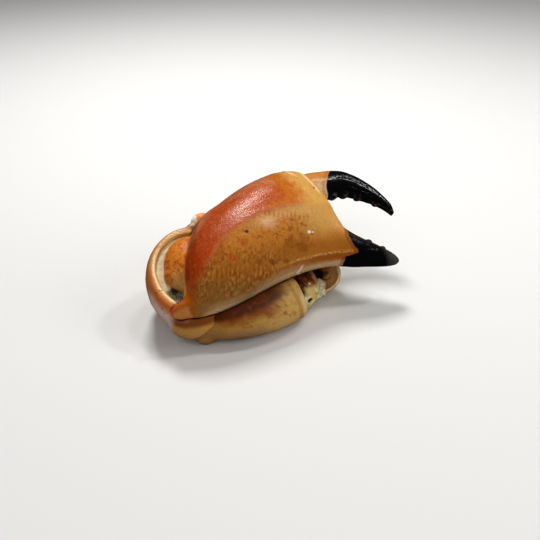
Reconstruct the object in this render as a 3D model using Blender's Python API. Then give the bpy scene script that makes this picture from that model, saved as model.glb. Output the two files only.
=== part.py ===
"""A cooked brown crab claw, folded at the elbow and lying on its arm.

Each stretch of shell between two joints of the limb is an object of its own. The palm and its
two fingers are drawn in the palm's own plane: s runs along the palm towards the fingers, t
towards its upper edge and n out of its outer face. That plane leans back on the folded arm.
The arm's pieces are drawn in the ground frame: x along the palm, y away, z up.
Lengths in the lists are millimetres, and every mesh is made in metres.
"""

from math import pi

import bmesh
import bpy
import numpy as np
from mathutils import Matrix, Vector

MM = 0.001

# ---------------------------------------------------------------- driving dimensions

PALM_LEAN = 25 * pi / 180           # the palm's plane, up from the ground
PALM_REST = 31.5                    # its reference point above the ground
CLAW_SHIFT = (-3.4, -0.65)          # puts the whole claw's middle over the origin
GAP = 0.5                           # room cut round a piece, so that neighbours stay clear

# Palm and fixed finger: upper edge (s, t), lower edge (s, t), outer bulge, inner bulge
PALM_SECTIONS = [
    (-39.0, 12.0, -55.0, -25.0, 4.0, 2.5),
    (-36.5, 18.0, -51.5, -30.2, 13.4, 8.5),
    (-29.5, 23.8, -43.5, -31.0, 17.0, 12.0),
    (-20.0, 28.4, -31.0, -29.2, 20.0, 14.0),
    (-10.0, 33.6, -19.0, -26.0, 21.5, 15.5),
    (0.0, 37.5, -8.0, -22.7, 22.0, 16.5),
    (9.0, 39.8, 2.0, -20.2, 21.5, 16.5),
    (17.0, 40.9, 10.0, -18.9, 20.0, 16.0),
    (23.5, 40.0, 17.0, -18.4, 18.0, 15.0),
    (29.2, 36.6, 22.0, -18.5, 16.0, 13.5),
    (33.2, 29.5, 26.0, -19.0, 14.0, 12.0),
    (35.6, 20.5, 30.0, -19.7, 12.7, 11.0),
    (35.8, 10.5, 34.0, -20.8, 11.7, 10.0),
    (37.2, 1.2, 38.0, -22.0, 10.4, 9.0),
    (44.2, -7.0, 43.5, -23.2, 8.8, 8.0),
    (51.0, -12.7, 49.5, -24.8, 7.0, 6.4),
    (56.5, -17.4, 55.0, -26.2, 5.2, 4.7),
    (60.7, -21.4, 59.8, -27.0, 3.2, 3.0),
    (62.8, -24.6, 62.4, -26.2, 1.0, 1.0),
]
# How blunt the upper end of each of those sections is: 2 is an ellipse
PALM_BLUNTNESS = [2.0, 2.1, 2.1, 2.1, 2.1, 2.1, 2.2, 2.3, 2.6, 3.0, 3.0, 2.8, 2.4, 2.1,
                  2.0, 2.0, 2.0, 2.0, 2.0]
WRIST_LOBE = ((-41.5, -3.0, 0.0), (15.3, 16.8, 9.8))
LOWER_HORN = ((-51.8, -25.6, 0.6), (9.2, 4.1, 6.4), 0.13)
UPPER_KNOB = ((-30.0, 24.3, -3.0), (5.4, 3.0, 3.6), 0.35)

FINGER_SECTIONS = [
    (20.0, 34.0, 24.0, 24.0, 6.0, 5.5),
    (26.0, 38.6, 31.0, 23.0, 8.0, 7.0),
    (34.0, 39.9, 37.5, 23.0, 8.3, 7.5),
    (41.5, 39.7, 42.0, 24.0, 8.0, 7.2),
    (49.0, 39.2, 46.5, 24.9, 7.5, 6.8),
    (55.0, 37.6, 51.5, 24.4, 7.0, 6.3),
    (60.0, 34.5, 56.0, 22.9, 6.3, 5.7),
    (65.0, 29.6, 61.0, 19.5, 5.4, 5.0),
    (69.3, 23.2, 65.0, 16.0, 4.3, 4.0),
    (72.3, 16.0, 68.5, 11.7, 3.2, 3.0),
    (73.8, 9.5, 70.8, 7.6, 2.0, 2.0),
    (73.4, 4.4, 72.4, 3.8, 0.7, 0.7),
]
# Low rounded teeth: place on the cutting edge (s, t, n) and radii
FINGER_TEETH = [
    ((45.5, 25.7, -1.6), (3.2, 1.7, 3.4)),
    ((52.0, 25.0, -1.4), (3.4, 1.8, 3.2)),
    ((58.6, 22.1, -1.0), (3.2, 1.9, 2.7)),
    ((64.6, 17.1, -0.6), (2.4, 1.9, 2.0)),
]
FIXED_TEETH = [
    ((43.6, -6.6, 0.5), (2.8, 1.7, 3.2)),
    ((49.8, -11.4, 0.5), (3.2, 2.0, 3.0)),
    ((56.0, -16.8, 0.4), (2.6, 1.9, 2.2)),
]

# Carpus, the elbow piece: two swellings in the palm's frame and ground frame, and its cup
CARPUS_BULGE = ((-43.3, -5.4, -6.5), (23.0, 27.9, 19.5), -0.29)
CARPUS_BACK = ((-44.0, 5.2, 14.2), (20.3, 18.3, 14.75))
CARPUS_CUFF = ((-43.6, -18.0, 10.6), (17.2, 13.4, 9.5))
WRIST_CUP = ((-41.5, -6.0, 0.0), (19.9, 22.0, 15.5))
CUP_RIM = 0.8                       # height of the cup's rim over the palm's plane
BAND_RIM = -0.6                     # height of the pale band inside it
CUFF_EDGE = ((-41.5, -22.0, 10.5), (1.0, -0.5, -1.4))    # a point of the cuff's cut edge, and where it faces

# Merus, ischium and basis, towards the broken end
MERUS_SECTIONS = [                  # x, y, z, half width, half height
    (-54.0, -18.5, 8.8, 3.0, 3.0),
    (-51.0, -19.2, 8.8, 7.0, 5.8),
    (-46.0, -20.4, 8.9, 8.9, 7.2),
    (-41.0, -21.3, 9.0, 10.7, 8.2),
    (-35.0, -22.6, 9.2, 12.4, 9.0),
    (-20.0, -22.6, 9.6, 14.5, 9.8),
    (-5.0, -21.2, 9.8, 14.3, 10.0),
    (3.0, -19.4, 9.8, 12.6, 9.8),
    (7.5, -17.8, 9.6, 11.0, 9.0),
]
MERUS_KNUCKLE = ((-44.0, -24.8, 4.4), (6.2, 4.8, 4.6))
MERUS_SOCKET = ((9.5, -17.2, 9.6), (4.5, 9.4, 7.6))
ISCHIUM_SECTIONS = [
    (5.6, -16.6, 9.3, 7.6, 6.0),
    (8.6, -16.4, 9.3, 9.4, 7.6),
    (13.0, -14.2, 9.6, 10.0, 8.4),
    (17.0, -11.6, 9.8, 9.4, 8.2),
    (20.0, -9.4, 9.8, 7.0, 6.2),
]
BASIS_BOWL = ((23.8, -5.2, 9.0), (12.6, 11.6, 9.2))
BASIS_HOLLOW = ((24.2, -6.2, 9.8), (11.0, 10.0, 7.8))
BROKEN_EDGE = ((22.0, -9.0, 13.4), (-0.24, -0.66, 0.71))    # a point, and where it faces
MEAT = ((21.4, -10.3, 6.6), (5.2, 4.4, 4.0))


# ---------------------------------------------------------------- helpers

def smooth_rows(rows, count):
    """Rows of numbers read as a smooth curve through them, count rows in all."""
    rows = np.array(rows, float)
    padded = np.vstack([2 * rows[0] - rows[1], rows, 2 * rows[-1] - rows[-2]])
    where = np.linspace(0, len(rows) - 1, count)
    start = np.minimum(where.astype(int), len(rows) - 2)
    f = (where - start)[:, None]
    a, b, c, d = (padded[start + k] for k in range(4))
    return 0.5 * (2 * b + (c - a) * f + (2 * a - 5 * b + 4 * c - d) * f ** 2
                  + (3 * b - a - 3 * c + d) * f ** 3)


def mesh_from_rings(name, rings):
    """One closed object through rings of points, closed by a point at each end."""
    rings = np.array(rings) * MM
    stations, sides, _ = rings.shape
    points = [Vector(p) for p in rings.reshape(-1, 3)]
    points += [Vector(rings[0].mean(axis=0)), Vector(rings[-1].mean(axis=0))]
    first_end, last_end = len(points) - 2, len(points) - 1
    faces = []
    for i in range(stations - 1):
        for j in range(sides):
            k = (j + 1) % sides
            faces.append((i * sides + j, i * sides + k, (i + 1) * sides + k, (i + 1) * sides + j))
    for j in range(sides):
        k = (j + 1) % sides
        faces.append((first_end, k, j))
        faces.append((last_end, (stations - 1) * sides + j, (stations - 1) * sides + k))
    mesh = bpy.data.meshes.new(name)
    mesh.from_pydata(points, [], faces)
    made = bpy.data.objects.new(name, mesh)
    bpy.context.scene.collection.objects.link(made)
    return made


def edge_loft(name, sections, stations, sides, bluntness=None):
    """A bulging form between an upper and a lower edge drawn in the palm's plane."""
    rows = smooth_rows(sections, stations)
    blunt = np.full(stations, 2.0)
    if bluntness:
        blunt = smooth_rows([[b] for b in bluntness], stations)[:, 0]
    angle = np.arange(sides) * 2 * pi / sides
    along, across = np.cos(angle), np.sin(angle)
    rings = []
    for (top_s, top_t, low_s, low_t, outer, inner), power in zip(rows, blunt):
        power_here = np.where(along > 0, power, 2.0)
        chord = np.sign(along) * np.abs(along) ** (2 / power_here)
        swell = np.sign(across) * np.abs(across) ** (2 / power_here)
        s = (top_s + low_s) / 2 + (top_s - low_s) / 2 * chord
        t = (top_t + low_t) / 2 + (top_t - low_t) / 2 * chord
        n = np.where(across > 0, outer, inner) * swell
        rings.append(np.column_stack([s, t, n]))
    return mesh_from_rings(name, rings)


def post_loft(name, sections, stations, sides, lean):
    """A form along x through upright ovals, which lean back as they rise."""
    angle = np.arange(sides) * 2 * pi / sides
    rings = []
    for x, y, z, wide, high in smooth_rows(sections, stations):
        rise = high * np.sin(angle)
        rings.append(np.column_stack([x - lean * rise, y + wide * np.cos(angle), z + rise]))
    return mesh_from_rings(name, rings)


def ball(name, middle, radii, turn=0.0, segments=24, rings=14):
    """An ellipsoid, turned about its third axis."""
    bpy.ops.mesh.primitive_uv_sphere_add(segments=segments, ring_count=rings, radius=1)
    made = bpy.context.object
    made.name = name
    size = Matrix.Diagonal((*[r * MM for r in radii], 1))
    place = Matrix.Translation([m * MM for m in middle])
    made.data.transform(place @ Matrix.Rotation(turn, 4, 'Z') @ size)
    return made


def half_space(name, point, facing, reach=90):
    """A large block whose one face passes through a point and lies square to facing."""
    bpy.ops.mesh.primitive_cube_add(size=reach * MM)
    made = bpy.context.object
    made.name = name
    made.data.transform(Matrix.Translation((0, 0, reach / 2 * MM)))
    made.data.transform(Vector(facing).to_track_quat('Z', 'Y').to_matrix().to_4x4())
    made.data.transform(Matrix.Translation([p * MM for p in point]))
    return made


def placed(made, frame):
    """Puts a mesh drawn in a frame where the frame stands, with its faces pointing out."""
    made.data.transform(frame)
    work = bmesh.new()
    work.from_mesh(made.data)
    bmesh.ops.recalc_face_normals(work, faces=work.faces)
    work.to_mesh(made.data)
    work.free()
    return made


def combine(target, others, operation, solver='EXACT'):
    """Joins other objects to the target, or cuts them out of it, and removes them."""
    for other in others:
        step = target.modifiers.new(operation.title(), 'BOOLEAN')
        step.operation = operation
        step.solver = solver
        step.object = other
    graph = bpy.context.evaluated_depsgraph_get()
    result = bpy.data.meshes.new_from_object(target.evaluated_get(graph))
    target.modifiers.clear()
    target.data = result
    for other in others:
        bpy.data.objects.remove(other, do_unlink=True)


def copy_of(source, name):
    made = bpy.data.objects.new(name, source.data.copy())
    bpy.context.scene.collection.objects.link(made)
    return made


def joined(name, forms):
    """One object made of copies of several overlapping forms."""
    made = copy_of(forms[0], name)
    combine(made, [copy_of(form, name + "_part") for form in forms[1:]], 'UNION', 'MANIFOLD')
    return made


def room_for(forms, amount=GAP):
    """Copies of closed forms, grown outwards all round, to cut their neighbours with."""
    rooms = []
    for form in forms:
        made = copy_of(form, form.name + "_room")
        normals = np.array([v.normal for v in made.data.vertices])
        points = np.array([v.co for v in made.data.vertices]) + normals * amount * MM
        made.data.vertices.foreach_set("co", points.astype(np.float32).ravel())
        made.data.update()
        rooms.append(made)
    return rooms


# Colour, roughness and metallic value of each piece
FINISHES = {
    "palm": ((0.56, 0.20, 0.045), 0.36),
    "movable_finger": ((0.012, 0.012, 0.014), 0.28),
    "carpus": ((0.55, 0.22, 0.06), 0.38),
    "wrist_membrane": ((0.66, 0.58, 0.44), 0.55),
    "merus": ((0.60, 0.30, 0.09), 0.40),
    "ischium": ((0.68, 0.48, 0.22), 0.42),
    "basis": ((0.66, 0.52, 0.30), 0.45),
    "broken_end_meat": ((0.80, 0.74, 0.60), 0.60),
}


def finish(piece):
    """Gives a piece its own shell or flesh material and smooth shading."""
    colour, roughness = FINISHES[piece.name]
    material = bpy.data.materials.new(piece.name + "_finish")
    material.use_nodes = True
    shader = material.node_tree.nodes["Principled BSDF"]
    shader.inputs["Base Color"].default_value = (*colour, 1)
    shader.inputs["Roughness"].default_value = roughness
    shader.inputs["Metallic"].default_value = 0.0
    material.diffuse_color = (*colour, 1)
    piece.data.materials.clear()
    piece.data.materials.append(material)
    piece.data.shade_smooth()
    piece.data.set_sharp_from_angle(angle=40 * pi / 180)


# ---------------------------------------------------------------- the claw

for old in list(bpy.data.objects):
    bpy.data.objects.remove(old, do_unlink=True)

ground_frame = Matrix.Translation((CLAW_SHIFT[0] * MM, CLAW_SHIFT[1] * MM, 0))
palm_frame = ground_frame @ Matrix.Translation((0, 0, PALM_REST * MM))
palm_frame = palm_frame @ Matrix.Rotation(PALM_LEAN, 4, 'X')


def in_palm(made):
    return placed(made, palm_frame)


def on_ground(made):
    return placed(made, ground_frame)


# Palm with its fixed finger, wrist lobe, horn and knob
palm_forms = [
    in_palm(edge_loft("palm_body", PALM_SECTIONS, 40, 28, PALM_BLUNTNESS)),
    in_palm(ball("lobe", *WRIST_LOBE, segments=24, rings=14)),
    in_palm(ball("horn", *LOWER_HORN, segments=16, rings=8)),
    in_palm(ball("knob", *UPPER_KNOB, segments=14, rings=8)),
]
teeth = [in_palm(ball("tooth", *tooth, segments=10, rings=6)) for tooth in FIXED_TEETH]
palm = joined("palm", palm_forms)
combine(palm, teeth, 'UNION', 'MANIFOLD')

# Movable finger
finger = in_palm(edge_loft("movable_finger", FINGER_SECTIONS, 26, 18))
combine(palm, room_for([finger]), 'DIFFERENCE', 'MANIFOLD')
teeth = [in_palm(ball("tooth", *tooth, segments=10, rings=6)) for tooth in FINGER_TEETH]
combine(finger, teeth, 'UNION', 'MANIFOLD')

# Merus, its top hollowed where the palm lies on it
merus_forms = [
    on_ground(post_loft("merus_body", MERUS_SECTIONS, 22, 24, 0.15)),
    on_ground(ball("knuckle", *MERUS_KNUCKLE, segments=14, rings=8)),
]
merus = joined("merus", merus_forms)
socket = on_ground(ball("socket", *MERUS_SOCKET, segments=20, rings=10))
combine(merus, [socket] + room_for(palm_forms), 'DIFFERENCE', 'MANIFOLD')

# Carpus
carpus_forms = [
    in_palm(ball("bulge", *CARPUS_BULGE, segments=30, rings=18)),
    on_ground(ball("cuff", *CARPUS_CUFF, segments=24, rings=14)),
    on_ground(ball("back", *CARPUS_BACK, segments=20, rings=12)),
]
carpus = joined("carpus", carpus_forms)
cup = in_palm(ball("cup", *WRIST_CUP, segments=26, rings=16))
above = in_palm(half_space("above", (-40, 0, CUP_RIM), (0, 0, 1)))
past = on_ground(half_space("past", *CUFF_EDGE))
combine(carpus, [cup, above, past], 'DIFFERENCE', 'MANIFOLD')
combine(carpus, room_for(palm_forms + merus_forms), 'DIFFERENCE', 'MANIFOLD')

# Pale band between the palm's lobe and the cup's rim
cup_middle, cup_radii = WRIST_CUP
band = in_palm(ball("wrist_membrane", cup_middle, [r - GAP for r in cup_radii], segments=26, rings=16))
above = in_palm(half_space("above", (-40, 0, BAND_RIM), (0, 0, 1)))
combine(band, [above] + room_for(palm_forms + merus_forms), 'DIFFERENCE', 'MANIFOLD')

# Ischium
ischium = on_ground(post_loft("ischium", ISCHIUM_SECTIONS, 12, 22, 0.1))
combine(ischium, room_for([merus] + palm_forms), 'DIFFERENCE', 'MANIFOLD')

# Basis, broken open, with meat in it
basis = on_ground(ball("basis", *BASIS_BOWL, segments=24, rings=16))
hollow = on_ground(ball("hollow", *BASIS_HOLLOW, segments=22, rings=14))
broken = on_ground(half_space("broken", *BROKEN_EDGE))
combine(basis, [hollow, broken] + room_for([ischium] + palm_forms), 'DIFFERENCE', 'MANIFOLD')
meat = on_ground(ball("broken_end_meat", *MEAT, segments=16, rings=10))
combine(meat, room_for([ischium, basis]), 'DIFFERENCE', 'MANIFOLD')

# Flat spots that the claw lies on
for piece in (merus, carpus, basis):
    ground = on_ground(half_space("ground", (0, 0, 0), (0, 0, -1), 300))
    combine(piece, [ground], 'DIFFERENCE', 'MANIFOLD')

for form in palm_forms + merus_forms + carpus_forms:
    bpy.data.objects.remove(form, do_unlink=True)

claw = bpy.data.collections.new("crab_claw")
bpy.context.scene.collection.children.link(claw)
for piece in (palm, finger, carpus, band, merus, ischium, basis, meat):
    finish(piece)
    for holder in list(piece.users_collection):
        holder.objects.unlink(piece)
    claw.objects.link(piece)
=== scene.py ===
"""A cooked brown crab claw, folded at the elbow, lying on a pale studio floor.

The palm, its fingers and the wrist are drawn in the palm's own plane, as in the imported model: s
runs along the palm towards the fingers, t towards its upper edge and n out of its outer face. The
arm's pieces are drawn over the floor: x along the palm, y away, z up. Lengths are millimetres,
but for those of the camera, the floor and the lights, and where a line says metres.
"""

from math import cos, pi, radians, sin

import bmesh
import bpy
import numpy as np
from mathutils import Matrix, Vector, noise


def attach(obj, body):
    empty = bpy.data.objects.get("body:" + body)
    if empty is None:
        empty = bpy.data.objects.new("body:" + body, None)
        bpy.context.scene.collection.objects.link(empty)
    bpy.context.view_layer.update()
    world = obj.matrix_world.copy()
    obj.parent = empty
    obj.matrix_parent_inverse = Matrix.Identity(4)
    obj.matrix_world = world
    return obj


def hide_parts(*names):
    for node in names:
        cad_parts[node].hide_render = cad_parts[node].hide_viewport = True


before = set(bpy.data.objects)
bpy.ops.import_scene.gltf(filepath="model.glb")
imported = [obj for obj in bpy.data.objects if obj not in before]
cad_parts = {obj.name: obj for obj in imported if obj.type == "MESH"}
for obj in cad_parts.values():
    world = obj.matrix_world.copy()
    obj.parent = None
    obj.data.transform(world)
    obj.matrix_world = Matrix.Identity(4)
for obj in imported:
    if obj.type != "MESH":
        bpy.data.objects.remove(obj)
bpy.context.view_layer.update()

# ---------------------------------------------------------------- camera
# The photograph looks down on the claw at 33 degrees, from a little to its left.
# A lens of 42 mm on a 36 mm frame gives its perspective at the claw's real size.

view = bpy.data.cameras.new("photo_view")
view.sensor_width = 36
view.lens = 42.33
view.clip_start = 0.01
camera = bpy.data.objects.new("photo_view", view)
camera.location = (-0.10976, -0.26116, 0.19623)
looks_along = Vector((0.31559, 0.78111, -0.53877))
camera.rotation_euler = looks_along.to_track_quat('-Z', 'Y').to_euler()
bpy.context.scene.collection.objects.link(camera)
bpy.context.scene.camera = camera

# ---------------------------------------------------------------- palm and fixed finger
# One smooth, swollen stretch of shell, red-orange on top and ochre below a faint ridge, with the
# fixed black finger grown out of it. A round lobe at the wrist turns in the elbow's cup, with a
# horn under it and a small pale knob above it. It lies on the arm, its outer face up and forward.

MM = 0.001                          # a millimetre in metres
CLAW_SHIFT = (-3.4, -0.65)          # the whole claw's shift over the floor
PALM_REST = 31.5                    # height of the palm's plane at its middle
PALM_LEAN = radians(25)
GAP = 0.5                           # air between neighbouring pieces
SLANT = (0.386, 0.587)              # how far marks shift along and up for each mm out
ground_frame = Matrix.Translation((CLAW_SHIFT[0] * MM, CLAW_SHIFT[1] * MM, 0))
palm_frame = ground_frame @ Matrix.Translation((0, 0, PALM_REST * MM))
palm_frame = palm_frame @ Matrix.Rotation(PALM_LEAN, 4, 'X')

# Upper edge (s, t), lower edge (s, t), outer bulge, inner bulge, bluntness towards the upper edge
PALM_SECTIONS = [
    (-39.0, 12.0, -55.0, -25.0, 4.0, 2.5, 2.0),
    (-36.5, 18.0, -51.5, -30.2, 13.4, 8.5, 2.1),
    (-29.5, 23.8, -43.5, -31.0, 17.0, 12.0, 2.1),
    (-20.0, 28.4, -31.0, -29.2, 20.0, 14.0, 2.1),
    (-10.0, 33.6, -19.0, -26.0, 21.5, 15.5, 2.1),
    (0.0, 37.5, -8.0, -22.7, 22.0, 16.5, 2.1),
    (9.0, 39.8, 2.0, -20.2, 21.5, 16.5, 2.2),
    (17.0, 40.9, 10.0, -18.9, 20.0, 16.0, 2.3),
    (23.5, 40.0, 17.0, -18.4, 18.0, 15.0, 2.6),
    (29.2, 36.6, 22.0, -18.5, 16.0, 13.5, 3.0),
    (33.2, 29.5, 26.0, -19.0, 14.0, 12.0, 3.0),
    (35.6, 20.5, 30.0, -19.7, 12.7, 11.0, 2.8),
    (35.8, 10.5, 34.0, -20.8, 11.7, 10.0, 2.4),
    (37.2, 1.2, 38.0, -22.0, 10.4, 9.0, 2.1),
    (44.2, -7.0, 43.5, -23.2, 8.8, 8.0, 2.0),
    (51.0, -12.7, 49.5, -24.8, 7.0, 6.4, 2.0),
    (56.5, -17.4, 55.0, -26.2, 5.2, 4.7, 2.0),
    (60.7, -21.4, 59.8, -27.0, 3.2, 3.0, 2.0),
    (62.8, -24.6, 62.4, -26.2, 1.0, 1.0, 2.0),
]
# Rounded forms: middle, radii and, where they lie aslant, the turn in radians
WRIST_LOBE = ((-41.5, -3.0, 0.0), (15.3, 16.8, 9.8))
LOWER_HORN = ((-51.8, -25.6, 0.6), (9.2, 4.1, 6.4), 0.13)
UPPER_KNOB = ((-30.8, 26.0, -2.2), (5.2, 2.9, 3.4), 0.3)
LOBE_HEEL = ((-47.5, -6.5, 0.0), (10.6, 9.0, 7.0))
FIXED_TEETH = [
    ((43.6, -6.6, 0.5), (2.8, 1.7, 3.2)),
    ((49.8, -11.4, 0.5), (3.2, 2.0, 3.0)),
    ((56.0, -16.8, 0.4), (2.6, 1.9, 2.2)),
]


def smooth_rows(rows, count):
    """Rows of numbers read as a smooth curve through them, count rows in all."""
    rows = np.array(rows, float)
    padded = np.vstack([2 * rows[0] - rows[1], rows, 2 * rows[-1] - rows[-2]])
    where = np.linspace(0, len(rows) - 1, count)
    start = np.minimum(where.astype(int), len(rows) - 2)
    f = (where - start)[:, None]
    a, b, c, d = (padded[start + k] for k in range(4))
    return 0.5 * (2 * b + (c - a) * f + (2 * a - 5 * b + 4 * c - d) * f ** 2
                  + (3 * b - a - 3 * c + d) * f ** 3)


def placed(piece, place):
    """Puts a mesh drawn in one frame where that frame stands, with its faces pointing out."""
    piece.data.transform(place)
    work = bmesh.new()
    work.from_mesh(piece.data)
    bmesh.ops.recalc_face_normals(work, faces=work.faces)
    work.to_mesh(piece.data)
    work.free()
    return piece


def from_rings(name, rings, place):
    """One closed object through rings of points, closed by a point at each end."""
    rings = np.array(rings) * MM
    stations, sides, _ = rings.shape
    points = [Vector(p) for p in rings.reshape(-1, 3)]
    points += [Vector(rings[0].mean(axis=0)), Vector(rings[-1].mean(axis=0))]
    first_end, last_end = len(points) - 2, len(points) - 1
    faces = []
    for j in range(sides):
        k = (j + 1) % sides
        faces.append((first_end, k, j))
        faces.append((last_end, (stations - 1) * sides + j, (stations - 1) * sides + k))
        for i in range(stations - 1):
            faces.append((i * sides + j, i * sides + k, (i + 1) * sides + k, (i + 1) * sides + j))
    mesh = bpy.data.meshes.new(name)
    mesh.from_pydata(points, [], faces)
    made = bpy.data.objects.new(name, mesh)
    bpy.context.scene.collection.objects.link(made)
    return placed(made, place)


def edge_loft(name, sections, stations, sides, grooves=()):
    """A bulging form between two edges in the palm's plane, with any grooves along both faces."""
    angle = np.arange(sides) * 2 * pi / sides
    along, across = np.cos(angle), np.sin(angle)
    rings = []
    for row, (top_s, top_t, low_s, low_t, outer, inner, blunt) in enumerate(
            smooth_rows(sections, stations)):
        power = np.where(along > 0, blunt, 2.0)
        chord = np.sign(along) * np.abs(along) ** (2 / power)
        swell = np.sign(across) * np.abs(across) ** (2 / power)
        share = row / (stations - 1)
        for middle, wide, deep, begin, end in grooves:
            fade = np.clip(min(share - begin, end - share) / 0.12, 0, 1)
            swell = swell * (1 - fade * deep * np.exp(-((chord - middle) / wide) ** 2))
        s = (top_s + low_s) / 2 + (top_s - low_s) / 2 * chord
        t = (top_t + low_t) / 2 + (top_t - low_t) / 2 * chord
        n = np.where(across > 0, outer, inner) * swell
        rings.append(np.column_stack([s, t, n]))
    return from_rings(name, rings, palm_frame)


def ball(name, place, middle, radii, turn=0.0):
    """An ellipsoid drawn in a frame and turned about its third axis."""
    bpy.ops.mesh.primitive_uv_sphere_add(segments=72, ring_count=40, radius=1)
    made = bpy.context.object
    made.name = name
    size = Matrix.Diagonal((*[r * MM for r in radii], 1))
    shift = Matrix.Translation([m * MM for m in middle])
    made.data.transform(shift @ Matrix.Rotation(turn, 4, 'Z') @ size)
    return placed(made, place)


def combine(target, others, operation):
    """Joins other objects to the target, or cuts them out of it, and removes them."""
    for other in others:
        step = target.modifiers.new(operation.title(), 'BOOLEAN')
        step.operation = operation
        step.solver = 'MANIFOLD'
        step.object = other
    graph = bpy.context.evaluated_depsgraph_get()
    result = bpy.data.meshes.new_from_object(target.evaluated_get(graph))
    target.modifiers.clear()
    target.data = result
    for other in others:
        bpy.data.objects.remove(other, do_unlink=True)


def copied(form, name):
    """A copy of a form with a mesh of its own."""
    made = bpy.data.objects.new(name, form.data.copy())
    bpy.context.scene.collection.objects.link(made)
    return made


def joined(name, forms):
    """One object made of copies of several overlapping forms."""
    copies = [copied(form, name) for form in forms]
    combine(copies[0], copies[1:], 'UNION')
    return copies[0]


def read(piece, what):
    """The places or normals of a piece's points, in metres, one row a point."""
    values = np.empty(len(piece.data.vertices) * 3, np.float32)
    piece.data.vertices.foreach_get(what, values)
    return values.reshape(-1, 3).astype(float)


def write(piece, points):
    """Moves a piece's points to new places, in metres."""
    piece.data.vertices.foreach_set("co", points.astype(np.float32).ravel())
    piece.data.update()


def pushed(piece, heights):
    """Moves the surface out by heights, one for each point or one for all."""
    write(piece, read(piece, "co") + read(piece, "normal") * np.reshape(heights, (-1, 1)) * MM)


def room_for(forms, amount=GAP):
    """Copies of closed forms, grown by an amount all round, to cut their neighbours with."""
    rooms = [copied(form, form.name + "_room") for form in forms]
    for room in rooms:
        pushed(room, amount)
    return rooms


def remeshed(piece, voxel):
    """Gives a piece an even mesh of squares of about a size, with its joins closed over."""
    step = piece.modifiers.new("Even", 'REMESH')
    step.mode = 'VOXEL'
    step.voxel_size = voxel * MM
    graph = bpy.context.evaluated_depsgraph_get()
    result = bpy.data.meshes.new_from_object(piece.evaluated_get(graph))
    piece.modifiers.clear()
    piece.data = result


def eased(piece, rounds, share=1.0):
    """Smooths a mesh; share says how much at each point, from 0 to 1."""
    points = read(piece, "co")
    ends = np.empty(len(piece.data.edges) * 2, np.int32)
    piece.data.edges.foreach_get("vertices", ends)
    ends = ends.reshape(-1, 2)
    neighbours = np.bincount(ends.ravel(), minlength=len(points))[:, None]
    weight = 0.5 * np.broadcast_to(share, len(points))[:, None]
    for _ in range(rounds):
        total = np.column_stack([
            np.bincount(ends[:, 0], points[ends[:, 1], k], len(points))
            + np.bincount(ends[:, 1], points[ends[:, 0], k], len(points)) for k in range(3)])
        points += weight * (total / neighbours - points)
    write(piece, points)


def in_frame(piece, place):
    """Where a piece's points lie in a frame, in millimetres, as three rows of numbers."""
    back = np.array(place.inverted())
    return ((read(piece, "co") @ back[:3, :3].T + back[:3, 3]) / MM).T


def lumps(piece, size, seed):
    """Smooth random heights from -1 to 1 over a piece, in lumps of a size."""
    shift = Vector((seed * 7.31, seed * 3.17, seed * 5.53))
    return np.array([noise.noise(Vector(p) / size + shift) for p in read(piece, "co") / MM])


def bell(distance, width):
    """1 where a distance is 0, falling off smoothly over a width."""
    return np.exp(-(distance / width) ** 2)


def climb(value, low, high):
    """0 up to low and 1 from high, smooth between them; with low above high it falls."""
    f = np.clip((value - low) / (high - low), 0, 1)
    return f * f * (3 - 2 * f)


# Marks on the palm go by p and q: the s and t where the camera sees them against the palm's own
# plane. These five functions take a mesh's numbers as well as a material's values.

def as_seen(s, t, n):
    """The p and q of a place on the palm."""
    return s + abs(n) * SLANT[0], t + abs(n) * SLANT[1]


def ridge_line(p):
    """Where the faint ridge along the palm lies: its q."""
    return 18.6 + p * 0.235 - p * p * 0.0068


def lower_line(p):
    """Where the pitted line above the palm's lower edge lies: its q."""
    return -13.7 + p * 0.203 - p * p * 0.00504


def lower_edge(s):
    """The palm's lower edge: its t."""
    return -20.37 + s * 0.2111 - s * s * 0.00565


def crease_line(q):
    """Where the palm's swelling meets the wrist's lobe: its p."""
    return -44.2 + q * 0.4 + q * q * 0.006


palm_forms = [
    edge_loft("palm_body", PALM_SECTIONS, stations=150, sides=112),
    ball("palm_lobe", palm_frame, *WRIST_LOBE),
    ball("palm_heel", palm_frame, *LOBE_HEEL),
    ball("palm_horn", palm_frame, *LOWER_HORN),
    ball("palm_knob", palm_frame, *UPPER_KNOB),
]
palm = joined("palm_shell", palm_forms)
combine(palm, [ball("palm_tooth", palm_frame, *tooth) for tooth in FIXED_TEETH], 'UNION')

# The movable finger's sections, in the same order; its root needs room in the palm's end
FINGER_SECTIONS = [
    (20.0, 34.0, 24.0, 24.0, 6.0, 5.5, 2.0),
    (26.0, 38.6, 31.0, 23.0, 8.0, 7.0, 2.0),
    (34.0, 39.9, 37.5, 22.6, 8.3, 7.5, 2.0),
    (41.5, 39.7, 42.0, 23.0, 8.0, 7.2, 2.0),
    (49.0, 39.2, 46.5, 23.4, 7.5, 6.8, 2.0),
    (55.0, 37.6, 51.5, 22.8, 7.0, 6.3, 2.0),
    (60.0, 34.5, 56.0, 20.8, 6.3, 5.7, 2.0),
    (65.0, 29.6, 61.0, 17.2, 5.4, 5.0, 2.0),
    (69.6, 23.2, 65.2, 14.0, 4.5, 4.2, 2.0),
    (73.0, 16.0, 69.0, 10.0, 3.5, 3.3, 2.0),
    (74.9, 9.8, 71.2, 6.2, 2.6, 2.5, 2.0),
    (74.6, 4.6, 72.2, 3.2, 1.3, 1.3, 2.0),
]
finger_form = edge_loft("finger_body", FINGER_SECTIONS, stations=90, sides=72)
combine(palm, room_for([finger_form]), 'DIFFERENCE')

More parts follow.
